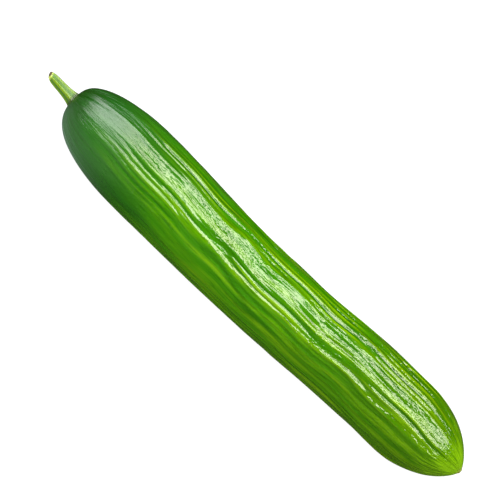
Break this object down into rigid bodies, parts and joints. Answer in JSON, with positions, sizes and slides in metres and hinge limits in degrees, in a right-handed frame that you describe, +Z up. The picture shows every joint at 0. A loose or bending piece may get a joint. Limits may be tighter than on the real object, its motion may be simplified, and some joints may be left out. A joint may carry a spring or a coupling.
{
  "type": "cucumber",
  "caption": "Short smooth-skinned greenhouse cucumber lying on its side, fresh and whole, gently bent and lightly ribbed, with a short cut stem.",
  "frame": {"origin": "on the surface that the cucumber lies on, under the middle of its bounding box", "axes": "+X along the cucumber from the cut stem to the blossom end, +Z up, +Y to the side that it bends towards at its ends"},
  "size_m": [0.2144, 0.0356, 0.0344],
  "materials": {
    "skin": "gloss",
    "stem": "satin"
  },
  "bodies": {
    "root": {"fruit": "skin", "stem": "stem"}
  },
  "joints": []
}
